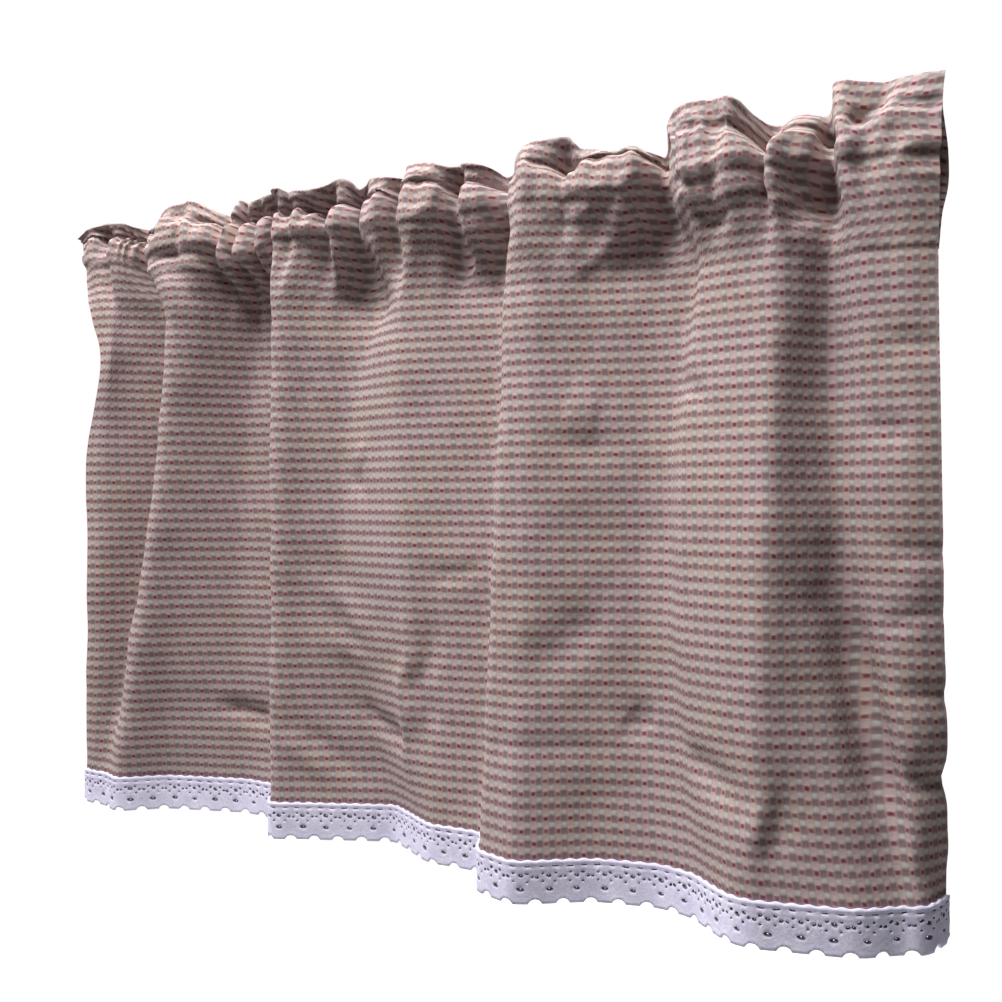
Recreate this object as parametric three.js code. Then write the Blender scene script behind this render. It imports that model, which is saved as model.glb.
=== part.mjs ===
// Cafe curtain: checked cotton gathered on a rod pocket, with a small ruffle above the pocket,
// soft uneven folds below it and a lace edging along the hem.
// Millimetres. X runs along the rod, -Y faces the room and Z points up.
// The origin lies over the rod's axis, at the middle of the pocket's upper seam.
import * as THREE from 'three';

// Drop of each part, from the top down
const pocketDepth = 61; // upper seam to lower seam
const panelDrop = 302; // lower seam to the cloth's hem edge
const laceDrop = 22;

// Cloth and lace
const clothThickness = 1.5;
const hemDepth = 57; // cloth turned up behind the hem
const hemExtraThickness = 1; // what the turned-up layer adds at the back
const laceThickness = 1.2;
const sewnGap = 0.3;

// Rod pocket: heights below the upper seam between which the rod runs, and the layer behind the rod
const rodTop = 10;
const rodBottom = 24;
const shoulder = 4; // height below the upper seam where the two layers begin to close
const shoulderOut = 6.5; // half the pocket's depth there, at least
const bellyShare = 0.36; // how far the layers have parted half way down to the lower seam
const backLayerOut = -10.5;
const backLayerWave = 2;
const backWaveLength = 95;
const pocketFloor = 7; // sewn shut above the lower seam
const pocketRoof = 1.8; // sewn shut below the upper seam
const ruffleLean = 0.25; // share of the pocket's own folds in the upper seam's line

// Lace scallops
const scallopCount = 42;
const notchRise = 2.6; // height of the notch between two scallops
const scallopProfile = [1, 0.15, 0, 0.15]; // share of that height across one scallop

// Steps of the faceted sheets
const headingColumns = 88;
const columnsPerFold = 6; // between two neighbouring fold lines of the panel
const panelRows = 8; // from the lower seam to the hem's stitch line
const hemRows = 2;
const hemStep = 1; // height over which the turned-up layer begins

const clothColor = 0xa8948c;
const clothRoughness = 0.9;
const laceColor = 0xe2dfec;
const laceRoughness = 0.85;

const lowerSeamUp = -pocketDepth;
const hemUp = lowerSeamUp - panelDrop;
const hemLineUp = hemUp + hemDepth;

// Ridges and valleys of the hanging cloth, from its left end to its right end. Each line gives its place
// along the rod and its distance in front of the rod's axis, at the hem, half way up and at the lower seam.
const folds = [
  { name: 'left end', hem: [-267, 25], middle: [-261, 31], seam: [-282, 17] },
  { name: 'end hollow', hem: [-251, 26], middle: [-224, 6], seam: [-206, 1] },
  { name: 'first ridge', hem: [-234, 31], middle: [-205, 30], seam: [-186, 29] },
  { name: 'first valley', hem: [-140, -8], middle: [-138, -9], seam: [-134, -12] },
  { name: 'second ridge', hem: [-99, 31], middle: [-100, 27], seam: [-104, 18] },
  { name: 'second valley', hem: [-28, -7], middle: [-56, -10], seam: [-60, -13] },
  { name: 'soft ridge', hem: [15, 24], middle: [-8, 18], seam: [-2, 7] },
  { name: 'soft valley', hem: [52, 20], middle: [50, -1], seam: [48, -11] },
  { name: 'centre ridge', hem: [84, 58], middle: [80, 39], seam: [75, 21] },
  { name: 'centre valley', hem: [158, 29], middle: [148, 8], seam: [144, 1] },
  { name: 'broad ridge', hem: [206, 57], middle: [203, 33], seam: [203, 36] },
  { name: 'broad ridge edge', hem: [217, 55], middle: [219, 32], seam: [221, 35] },
  { name: 'slanting trough', hem: [260, 35], middle: [240, 15], seam: [233, 5] },
  { name: 'last ridge', hem: [282, 36], middle: [262, 29], seam: [253, 13] },
  { name: 'right end', hem: [292, 10], middle: [292, 22], seam: [289, 3] },
];

// Gathers of the pocket and its ruffle: place along the rod, distance in front of the rod's axis at the
// rod and at the ruffle's top edge, and height of that edge above the upper seam.
const gathers = [
  { name: 'left end', along: -284, rodOut: 16, crestOut: 4, crestUp: 13 },
  { name: 'end lobe', along: -258, rodOut: 20, crestOut: 11, crestUp: 15 },
  { name: 'end tuck', along: -229, rodOut: 11, crestOut: -9, crestUp: 3 },
  { name: 'first ridge', along: -186, rodOut: 33, crestOut: 12, crestUp: 16 },
  { name: 'first valley', along: -158, rodOut: 11, crestOut: -9, crestUp: 6 },
  { name: 'slim lobe', along: -138, rodOut: 16, crestOut: 4, crestUp: 14 },
  { name: 'second ridge', along: -98, rodOut: 27, crestOut: 14, crestUp: 17 },
  { name: 'second slope', along: -70, rodOut: 12, crestOut: 4, crestUp: 16 },
  { name: 'second valley', along: -47, rodOut: 11, crestOut: 1, crestUp: 12 },
  { name: 'small lobe', along: -30, rodOut: 18, crestOut: 7, crestUp: 15 },
  { name: 'small tuck', along: -16, rodOut: 11, crestOut: -2, crestUp: 12 },
  { name: 'soft ridge', along: 8, rodOut: 22, crestOut: 7, crestUp: 17 },
  { name: 'soft valley', along: 51, rodOut: 11, crestOut: -8, crestUp: 5 },
  { name: 'centre ridge', along: 80, rodOut: 29, crestOut: 17, crestUp: 20 },
  { name: 'centre valley', along: 150, rodOut: 12, crestOut: -8, crestUp: 8 },
  { name: 'broad ridge', along: 188, rodOut: 44, crestOut: 23, crestUp: 25 },
  { name: 'deep tuck', along: 211, rodOut: 36, crestOut: -6, crestUp: 4 },
  { name: 'slanting trough', along: 231, rodOut: 14, crestOut: -3, crestUp: 9 },
  { name: 'last ridge', along: 252, rodOut: 24, crestOut: 16, crestUp: 23 },
  { name: 'right end', along: 289, rodOut: 17, crestOut: 10, crestUp: 20 },
];

const { clamp, lerp, smoothstep } = THREE.MathUtils;

// Value at one place of a curve that runs level through each listed point, [place, value].
function easeThrough(points, place) {
  const next = points.findIndex((point) => point[0] > place);
  if (next === 0) return points[0][1];
  if (next < 0) return points[points.length - 1][1];
  const [fromPlace, fromValue] = points[next - 1];
  const [toPlace, toValue] = points[next];
  return lerp(fromValue, toValue, smoothstep(place, fromPlace, toPlace));
}

// The fold lines at one height, each as [along, out], on a parabola through hem, middle and seam.
function foldPointsAt(up) {
  const rise = clamp((up - hemUp) / panelDrop, 0, 1);
  const hemShare = (2 * rise - 1) * (rise - 1);
  const middleShare = 4 * rise * (1 - rise);
  const seamShare = rise * (2 * rise - 1);
  const mixed = ({ hem, middle, seam }, axis) =>
    hem[axis] * hemShare + middle[axis] * middleShare + seam[axis] * seamShare;
  return folds.map((fold) => [mixed(fold, 0), mixed(fold, 1)]);
}

// Places at even steps from one place to another.
function evenPlaces(start, end, steps) {
  return Array.from({ length: steps + 1 }, (_, step) => lerp(start, end, step / steps));
}

// Places at the same number of steps between each two folds, so that the columns follow the folds.
function foldPlaces(points) {
  const between = (point, index) => evenPlaces(points[index][0], point[0], columnsPerFold).slice(1);
  return [points[0][0], ...points.slice(1).flatMap(between)];
}

// Points of a plan curve at the listed places, each with the unit direction that faces the room there.
function planLine(places, outAt) {
  const reach = 0.5;
  return places.map((along) => {
    const slope = (outAt(along + reach) - outAt(along - reach)) / (2 * reach);
    const length = Math.hypot(slope, 1);
    return { along, out: outAt(along), facing: [-slope / length, 1 / length] };
  });
}

// Middle line of the hanging cloth at one height, at the places picked from its fold lines.
function hangingLine(up, placesOf) {
  const points = foldPointsAt(up);
  return planLine(placesOf(points), (along) => easeThrough(points, along));
}

// The point at a distance in front of a plan point, at a height.
function offsetPoint(point, distance, up) {
  const along = point.along + point.facing[0] * distance;
  const out = point.out + point.facing[1] * distance;
  return [along, -out, up];
}

// Walls between neighbouring sections of a sweep; a hole's walls face inwards.
function sectionWalls(sections, isHole) {
  const triangles = [];
  sections.slice(1).forEach((section, column) => {
    const before = sections[column];
    section.forEach((d, corner) => {
      const next = (corner + 1) % section.length;
      const [a, b, c] = [before[corner], before[next], section[next]];
      if (isHole) triangles.push([a, c, b], [a, d, c]);
      else triangles.push([a, b, c], [a, c, d]);
    });
  });
  return triangles;
}

// End of a sweep, closed across its outline around an optional hole.
function endCap(outline, hole, facesLeft) {
  const flat = (loop) => loop.map(([, y, z]) => new THREE.Vector2(y, z));
  const corners = [...outline, ...hole];
  const faces = THREE.ShapeUtils.triangulateShape(flat(outline), hole.length ? [flat(hole)] : []);
  return faces.map((face) => {
    const [a, b, c] = face.map((index) => corners[index]);
    const turn = (b[1] - a[1]) * (c[2] - a[2]) - (b[2] - a[2]) * (c[1] - a[1]);
    return (turn > 0) === facesLeft ? [a, c, b] : [a, b, c];
  });
}

// One closed body swept along the rod, with an optional hole right through it.
function sweptBody(sections, holes = []) {
  const triangles = [
    ...sectionWalls(sections, false),
    ...sectionWalls(holes, true),
    ...endCap(sections[0], holes[0] ?? [], true),
    ...endCap(sections.at(-1), holes.at(-1) ?? [], false),
  ];
  const geometry = new THREE.BufferGeometry();
  geometry.setAttribute('position', new THREE.Float32BufferAttribute(triangles.flat(2), 3));
  geometry.computeVertexNormals();
  return geometry;
}

// Section through a sheet at each column, down its front and up its back.
function sheetBody(fronts, backs) {
  const sections = fronts[0].map((_, column) => [
    ...fronts.map((row) => row[column]),
    ...backs.map((row) => row[column]).reverse(),
  ]);
  return sweptBody(sections);
}

// The hanging cloth: one sheet in its folds, thicker behind where the hem is turned up.
function panelBody() {
  const rowsBetween = (top, bottom, rows) =>
    Array.from({ length: rows + 1 }, (_, row) => lerp(top, bottom, row / rows));
  const heights = [
    ...rowsBetween(lowerSeamUp - sewnGap, hemLineUp, panelRows),
    ...rowsBetween(hemLineUp - hemStep, hemUp, hemRows),
  ];
  const backAt = (up) => -clothThickness / 2 - (up < hemLineUp ? hemExtraThickness : 0);
  const row = (up, distance) =>
    hangingLine(up, foldPlaces).map((point) => offsetPoint(point, distance, up));
  return sheetBody(
    heights.map((up) => row(up, clothThickness / 2)),
    heights.map((up) => row(up, backAt(up))),
  );
}

// The lace: a strip under the hem edge whose lower edge has a notch between each two scallops.
function laceBody() {
  const steps = scallopCount * scallopProfile.length;
  const line = hangingLine(hemUp, (points) => evenPlaces(points[0][0], points.at(-1)[0], steps));
  const top = hemUp - sewnGap;
  const notchAt = (column) => notchRise * scallopProfile[column % scallopProfile.length];
  const edge = (distance, upAt) => line.map((point, column) => offsetPoint(point, distance, upAt(column)));
  const sides = [laceThickness / 2, -laceThickness / 2];
  const [fronts, backs] = sides.map((distance) => [
    edge(distance, () => top),
    edge(distance, (column) => top - laceDrop + notchAt(column)),
  ]);
  return sheetBody(fronts, backs);
}

// Plan curves of the heading, each as a function of the place along the rod.
const seamPoints = foldPointsAt(lowerSeamUp);
const gatherPoints = (key) => gathers.map((gather) => [gather.along, gather[key]]);
const gatherCurve = (key) => (along) => easeThrough(gatherPoints(key), along);
const seamOut = (along) => easeThrough(seamPoints, along);
const rodOut = gatherCurve('rodOut');
const crestOut = gatherCurve('crestOut');
const crestUp = gatherCurve('crestUp');
const upperSeamOut = (along) => lerp(crestOut(along), rodOut(along), ruffleLean);
const backOut = (along) => backLayerOut - backLayerWave * Math.sin((2 * Math.PI * along) / backWaveLength);

// Middle of one layer of the pocket and ruffle, from the lower seam up. The side is 1 for the front layer
// and -1 for the back one, and the layers lie face to face at both seams and in the ruffle.
function layerLevels(side) {
  const besideSeam = (side * clothThickness) / 2;
  const pocketOut = side > 0 ? rodOut : backOut;
  const atShoulder = (along) => {
    const halfWay = lerp(upperSeamOut(along), pocketOut(along), 0.5);
    return side * Math.max(side * halfWay, shoulderOut);
  };
  const belly = (along) => lerp(seamOut(along) + besideSeam, pocketOut(along), bellyShare);
  return {
    lowerSeam: { up: () => lowerSeamUp, out: (along) => seamOut(along) + besideSeam },
    belly: { up: () => (lowerSeamUp - rodBottom) / 2, out: belly },
    rodFoot: { up: () => -rodBottom, out: pocketOut },
    rodHead: { up: () => -rodTop, out: pocketOut },
    shoulder: { up: () => -shoulder, out: atShoulder },
    upperSeam: { up: () => 0, out: (along) => upperSeamOut(along) + besideSeam },
    crest: { up: crestUp, out: (along) => crestOut(along) + besideSeam },
  };
}

// Levels at which the pocket stands open for the rod
const openLevels = ['belly', 'rodFoot', 'rodHead', 'shoulder'];

// Line of points on one face of a layer at one of its levels.
function layerFace(level, distance) {
  const [start, end] = [gathers[0].along, gathers.at(-1).along];
  const line = planLine(evenPlaces(start, end, headingColumns), level.out);
  return line.map((point) => offsetPoint(point, distance, level.up(point.along)));
}

// Line where the pocket closes, midway between its layers, at a share of the way between two levels.
function closingLine(front, back, from, to, share) {
  const out = (along) => {
    const layerOut = (layer) => lerp(layer[from].out(along), layer[to].out(along), share);
    return (layerOut(front) + layerOut(back)) / 2;
  };
  const up = (along) => lerp(front[from].up(along), front[to].up(along), share);
  return layerFace({ up, out }, 0);
}

// The heading: pocket and ruffle in their gathers, open from end to end for the rod.
function headingBody() {
  const half = clothThickness / 2;
  const front = layerLevels(1);
  const back = layerLevels(-1);
  const outerRows = [
    ...Object.values(front).map((level) => layerFace(level, half)).reverse(),
    ...Object.values(back).map((level) => layerFace(level, -half)),
  ];
  const inside = (layer, distance) => openLevels.map((level) => layerFace(layer[level], distance));
  const bellyHeight = front.belly.up() - lowerSeamUp;
  const holeRows = [
    closingLine(front, back, 'shoulder', 'upperSeam', 1 - pocketRoof / shoulder),
    ...inside(front, -half).reverse(),
    closingLine(front, back, 'lowerSeam', 'belly', pocketFloor / bellyHeight),
    ...inside(back, half),
  ];
  const bySection = (rows) => rows[0].map((_, column) => rows.map((row) => row[column]));
  return sweptBody(bySection(outerRows), bySection(holeRows));
}

function namedMesh(name, geometry, color, roughness) {
  const material = new THREE.MeshStandardMaterial({ color, roughness, metalness: 0 });
  const mesh = new THREE.Mesh(geometry, material);
  mesh.name = name;
  return mesh;
}

const curtain = new THREE.Group();
curtain.add(namedMesh('heading', headingBody(), clothColor, clothRoughness));
curtain.add(namedMesh('panel', panelBody(), clothColor, clothRoughness));
curtain.add(namedMesh('lace_trim', laceBody(), laceColor, laceRoughness));

export default curtain;
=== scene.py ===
import math
import random

import bpy
import numpy as np
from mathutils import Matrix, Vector
from mathutils.geometry import delaunay_2d_cdt


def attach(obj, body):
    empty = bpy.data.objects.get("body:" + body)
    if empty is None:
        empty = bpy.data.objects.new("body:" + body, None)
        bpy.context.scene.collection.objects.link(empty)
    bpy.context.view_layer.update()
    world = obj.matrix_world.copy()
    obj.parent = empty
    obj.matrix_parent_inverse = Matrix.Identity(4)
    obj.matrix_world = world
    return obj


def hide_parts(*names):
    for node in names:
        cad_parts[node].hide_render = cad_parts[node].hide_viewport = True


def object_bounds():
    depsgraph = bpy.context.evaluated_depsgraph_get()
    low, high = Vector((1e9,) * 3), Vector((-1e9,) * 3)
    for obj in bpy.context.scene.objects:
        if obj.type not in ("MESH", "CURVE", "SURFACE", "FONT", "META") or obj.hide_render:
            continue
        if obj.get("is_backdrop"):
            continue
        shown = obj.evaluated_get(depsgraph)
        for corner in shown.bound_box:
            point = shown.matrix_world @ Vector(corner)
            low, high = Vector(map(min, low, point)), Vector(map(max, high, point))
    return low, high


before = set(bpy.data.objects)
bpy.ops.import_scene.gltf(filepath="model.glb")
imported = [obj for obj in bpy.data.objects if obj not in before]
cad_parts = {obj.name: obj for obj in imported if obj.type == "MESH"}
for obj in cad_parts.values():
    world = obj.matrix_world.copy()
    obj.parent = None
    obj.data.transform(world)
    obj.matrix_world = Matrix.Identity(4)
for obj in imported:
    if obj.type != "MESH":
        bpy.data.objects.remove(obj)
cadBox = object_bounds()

metre = 0.001  # every size below is in millimetres


# Camera: level, in front and to the right of the curtain's middle

camera = {
    "along": 392.5,
    "out": 599,  # in front of the rod's axis
    "up": -176.5,
    "turn": 30,  # degrees to the left of square on
    "focal": 43.11,
    "sensor": 36,
    "shiftUp": -0.003,
    "clipStart": 10,
}


def addCamera():
    data = bpy.data.cameras.new("camera")
    data.lens = camera["focal"]
    data.sensor_width = camera["sensor"]
    data.shift_y = camera["shiftUp"]
    data.clip_start = camera["clipStart"] * metre
    eye = bpy.data.objects.new("camera", data)
    eye.location = Vector((camera["along"], -camera["out"], camera["up"])) * metre
    eye.rotation_euler = (math.radians(90), 0, math.radians(camera["turn"]))
    bpy.context.collection.objects.link(eye)
    bpy.context.scene.camera = eye


addCamera()
print("camera placed")


# Shared small tools

def linearColor(code):
    parts = [int(code[place:place + 2], 16) / 255 for place in (1, 3, 5)]
    return [part / 12.92 if part <= 0.04045 else ((part + 0.055) / 1.055) ** 2.4 for part in parts] + [1]


def addNode(tree, kind, inputs=None, output=0, **settings):
    node = tree.nodes.new("ShaderNode" + kind)
    for name, value in settings.items():
        setattr(node, name, value)
    for socket, value in (inputs or {}).items():
        if isinstance(value, bpy.types.NodeSocket):
            tree.links.new(value, node.inputs[socket])
        else:
            node.inputs[socket].default_value = value
    return node.outputs[output]


def newMaterial(name):
    material = bpy.data.materials.new(name)
    material.use_nodes = True
    return material, material.node_tree.nodes["Principled BSDF"]


def newPiece(name, points, faces, materials):
    mesh = bpy.data.meshes.new(name)
    mesh.from_pydata([tuple(point) for point in points], [], faces)
    for material in materials:
        mesh.materials.append(material)
    mesh.polygons.foreach_set("use_smooth", [True] * len(mesh.polygons))
    mesh.update()
    piece = bpy.data.objects.new(name, mesh)
    bpy.context.collection.objects.link(piece)
    return piece


def ease(share):
    share = np.clip(share, 0, 1)
    return share * share * (3 - 2 * share)


def between(start, end, share):
    return start + (end - start) * share


# Values averaged over their neighbours with a bell-shaped weight
def averaged(values, halfWidth, halfCount):
    weights = np.exp(-(np.arange(-halfCount, halfCount + 1) / halfWidth) ** 2 / 2)
    return np.convolve(np.pad(values, halfCount, "edge"), weights / weights.sum(), "valid")


# Random values on a lattice, eased between its points, from -1 to 1
def unevenness(x, y, pitchX, pitchY, seed):
    size = 257
    lattice = np.random.RandomState(seed).uniform(-1, 1, (size, size))
    gridX, gridY = np.asarray(x) / pitchX + size // 2, np.asarray(y) / pitchY + size // 2
    cellX, cellY = np.floor(gridX).astype(int), np.floor(gridY).astype(int)
    shareX, shareY = ease(gridX - cellX), ease(gridY - cellY)
    corner = lambda stepX, stepY: lattice[(cellX + stepX) % size, (cellY + stepY) % size]
    low = corner(0, 0) * (1 - shareX) + corner(1, 0) * shareX
    high = corner(0, 1) * (1 - shareX) + corner(1, 1) * shareX
    return low * (1 - shareY) + high * shareY


# The cloth: one cut length, its foot turned up behind and its head turned over to the back

cloth = {
    "flatWidth": 650,
    "panelDrop": 302,  # pocket's lower seam down to the lace
    "pocketDepth": 61,
    "ruffle": 22,
    "hemTurn": 57,
    "underLace": 2,  # how far the cloth runs down behind the lace
    "thickness": 0.6,
    "layerGap": 1.4,  # between the outer sides of two layers sewn together
    "cell": 6.3,  # one repeat of the weave
    "columns": 400,
    "panelRows": 76,
    "headingRows": 54,
    "backRows": 20,
    "foldSteps": 1600,  # fine steps along a fold line and a gather line while they are worked out
    "gatherSteps": 2400,
    "foldSoftness": 4,  # how far a fold's bend spreads to each side
    "gatherSoftness": 1.5,
    "rollSoftness": 14,  # how far the fullness of the rolls on the rod evens out
    "footTurn": 0.5,  # cloth taken up by the fold under the lace
    "crestTurn": 0.8,  # and by the fold at the ruffle's top edge
}

seamUp = -cloth["pocketDepth"]
hemUp = seamUp - cloth["panelDrop"]

# Fold lines from the left end to the right end: name, then place along the rod and distance in front of
# the rod's axis at the hem, half way up and at the pocket's lower seam
folds = [
    ("left end", (-271, 24), (-261, 32), (-282, 27)),
    ("end bend", (-260, 27), (-251, 31), (-258, 24)),
    ("end hollow", (-250, 26), (-224, -1), (-207, -13)),
    ("first ridge edge", (-240, 31), (-212, 30), (-195, 25)),
    ("first ridge", (-229, 35), (-199, 35), (-183, 31)),
    ("first slope", (-206, 11), (-187, 23), (-170, 21)),
    ("first valley", (-152, -7), (-153, -3), (-146, -13)),
    ("second ridge foot", (-122, -6), (-119, -11), (-118, -14)),
    ("second ridge", (-101, 34), (-102, 30), (-106, 27)),
    ("second ridge top", (-92, 31), (-93, 29), (-94, 27)),
    ("second slope", (-84, 26), (-84, 20), (-83, 17)),
    ("second valley", (-28, -4), (-60, 8), (-44, 2)),
    ("soft ridge", (14, 25), (-6, 24), (-12, 20)),
    ("centre ridge foot", (50, 23), (53, 13), (51, 1)),
    ("centre ridge edge", (61, 53), (64, 45), (63, 26)),
    ("centre ridge", (88, 62), (86, 44), (82, 28)),
    ("centre slope", (124, 37), (118, 28), (112, 14)),
    ("centre valley", (156, 30), (142, 17), (146, 5)),
    ("broad ridge foot", (178, 35), (161, 18), (170, 3)),
    ("broad ridge left edge", (184, 41), (165, 36), (173, 22)),
    ("broad ridge", (202, 57), (192, 45), (192, 29)),
    ("broad ridge edge", (214, 60), (219, 51), (221, 33)),
    ("slanting edge", (262, 46), (237, 33), (232, 22)),
    ("slanting trough", (280, 28), (249, 19), (240, 10)),
    ("last ridge", (287, 32), (266, 26), (255, 23)),
    ("right bend", (288, 22), (281, 26), (279, 22)),
    ("right end", (292, 4), (293, 20), (290, 17)),
]

# Gathers on the rod, from the left end: name, place along the pocket's lower seam, how far the cloth tucks
# in below the rod, then place along and distance in front of the rod's axis at the rod, and place along,
# distance in front and height at the upper seam and at the ruffle's top edge
gathers = [
    ("left end", -280, 0, (-282, 20), (-284, 16, 2), (-287, 17, 7)),
    ("end lobe", -270, 1, (-271, 24), (-271, 19, 3), (-272, 20, 11)),
    ("end crease", -259, 1, (-259, 17), (-259, 8, -1), (-259, 17, 12)),
    ("end second lobe", -247, 2, (-249, 23), (-249, 16, 2), (-249, 18, 12)),
    ("end lobe right", -230, 1, (-239, 16), (-239, 6, 0), (-240, 12, 10)),
    ("end tuck", -198, 0, (-224, 6), (-227, -1, -3), (-230, 2, 5)),
    ("first ridge left", -188, 4, (-210, 25), (-213, 19, 2), (-216, 12, 7)),
    ("first ridge", -181, 5, (-191, 31), (-192, 28, 4), (-193, 22, 14)),
    ("first ridge crease", -175, 4, (-182, 28), (-182, 23, 3), (-184, 19, 17)),
    ("first ridge right", -169, 4, (-173, 30), (-175, 25, 4), (-177, 18, 19)),
    ("first slope", -163, 2, (-165, 26), (-165, 15, 1), (-165, 7, 12)),
    ("first valley", -156, 0, (-157, 8), (-159, -4, -3), (-160, -6, 10)),
    ("slim lobe", -151, 2, (-151, 22), (-151, 13, 4), (-150, 6, 19)),
    ("slim tuck", -144, 0, (-144, 6), (-143, -8, -4), (-142, 5, 15)),
    ("slim second lobe", -137, 1, (-136, 20), (-135, 9, 1), (-134, 12, 13)),
    ("slim second tuck", -129, 0, (-127, 7), (-126, -5, -3), (-125, 14, 13)),
    ("slim third lobe", -121, 1, (-119, 21), (-118, 10, 1), (-116, 18, 14)),
    ("second ridge tuck", -113, 0, (-110, 8), (-109, -3, -3), (-107, 19, 15)),
    ("second ridge", -105, 3, (-102, 24), (-102, 19, 1), (-101, 20, 16)),
    ("second ridge crease", -98, 3, (-94, 20), (-94, 12, -1), (-94, 19, 13)),
    ("second ridge right", -91, 3, (-87, 23), (-87, 18, 1), (-87, 21, 13)),
    ("second slope", -83, 6, (-79, 21), (-78, 11, -1), (-77, 19, 13)),
    ("second slope tuck", -73, 0, (-70, 8), (-69, -5, -3), (-67, 15, 15)),
    ("second valley", -62, 3, (-60, 21), (-59, 12, 1), (-58, 14, 18)),
    ("second valley tuck", -48, 0, (-48, 7), (-47, -6, -3), (-47, 11, 11)),
    ("small lobe", -34, 4, (-35, 22), (-34, 16, 2), (-33, 14, 15)),
    ("small lobe point", -26, 4, (-27, 24), (-26, 18, 3), (-25, 14, 14)),
    ("small tuck", -15, 0, (-18, 8), (-17, -3, -3), (-16, 0, 15)),
    ("soft ridge left", -9, 4, (-9, 24), (-9, 19, 3), (-9, 14, 19)),
    ("soft ridge", -1, 4, (2, 28), (2, 23, 5), (4, 17, 19)),
    ("soft ridge right", 12, 6, (14, 25), (14, 19, 3), (15, 15, 15)),
    ("soft tuck", 24, 0, (24, 9), (24, -3, -2), (26, 10, 15)),
    ("soft valley lobe", 34, 3, (34, 24), (34, 18, 2), (35, 19, 14)),
    ("soft valley lobe right", 44, 3, (43, 22), (42, 16, 1), (43, 17, 12)),
    ("soft valley", 56, 0, (58, 5), (55, -8, -4), (50, -6, 9)),
    ("centre ridge edge", 66, 0, (68, 23), (66, 17, 2), (66, 14, 17)),
    ("centre ridge", 76, 0, (76, 30), (74, 26, 5), (72, 20, 18)),
    ("centre ridge right", 88, 0, (87, 28), (86, 22, 3), (84, 22, 19)),
    ("centre ridge crease", 98, 3, (97, 22), (97, 9, -2), (97, 18, 19)),
    ("centre slope", 110, 6, (108, 27), (107, 20, 3), (106, 16, 12)),
    ("centre sag", 124, 8, (121, 28), (120, 22, 4), (120, 21, 9)),
    ("centre valley", 142, 8, (139, 27), (138, 21, 4), (138, 15, 8)),
    ("centre valley tuck", 156, 2, (152, 8), (150, -5, -3), (147, -4, 6)),
    ("broad ridge left", 168, 3, (163, 30), (161, 26, 6), (156, 17, 20)),
    ("broad ridge", 182, 4, (178, 40), (178, 36, 8), (174, 28, 23)),
    ("broad ridge crease", 190, 4, (187, 37), (187, 31, 6), (184, 27, 23)),
    ("broad ridge right", 198, 2, (195, 42), (194, 35, 6), (193, 30, 23)),
    ("deep tuck left", 208, 0, (204, 36), (203, 21, 2), (202, 15, 16)),
    ("deep tuck", 214, 0, (211, 22), (209, -3, -5), (208, 0, 13)),
    ("deep tuck loop", 221, 0, (216, 37), (215, 17, -1), (214, 0, 16)),
    ("slim rise", 227, 9, (222, 28), (222, 20, 3), (222, 6, 16)),
    ("slanting trough", 233, 10, (231, 22), (231, 14, 2), (230, 5, 14)),
    ("last tuck", 241, 0, (239, 5), (237, -6, -2), (234, -4, 15)),
    ("last ridge", 251, 4, (247, 27), (245, 22, 4), (240, 14, 25)),
    ("last ridge crease", 259, 3, (257, 24), (256, 18, 3), (253, 13, 24)),
    ("last ridge right", 267, 1, (266, 24), (266, 20, 6), (265, 12, 23)),
    ("last slope", 277, 0, (276, 22), (276, 18, 7), (276, 10, 24)),
    ("right end", 289, 0, (289, 17), (289, 13, 7), (290, 8, 24)),
]

# Levels of the pocket's front below the rod: name, cloth length above the lower seam, height, share of the
# way from the seam's line to the rod's, how much of the pleats and of the tucks shows, and the least
# distance in front of the rod's axis
pocketLevels = [
    ("above the seam", 12, -49, 0.08, 0.2, 0, -30),
    ("hollow", 24, -37, 0.4, 0.75, 0.3, -30),
    ("below the rod", 34, -26.5, 0.82, 1.1, 0.6, -6),
    ("roll", 42.5, -18, 1.03, 1.1, 0.5, 5),
]

# Levels from the rod to the upper seam: name, cloth length above the lower seam, height, share of the upper
# seam's own rise, share of the way from the rod's line to that seam's, step out, least distance in front
rollLevels = [
    ("rod", 49, -12, 0, 0, 0.4, 6),
    ("over the rod", 54.5, -5.4, 0.3, 0, -1, 6),
    ("below the stitches", 58.5, -1, 0.7, 0.42, 0, -30),
    ("upper seam", 61, 0.5, 1, 1, 0, -30),
]

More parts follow.
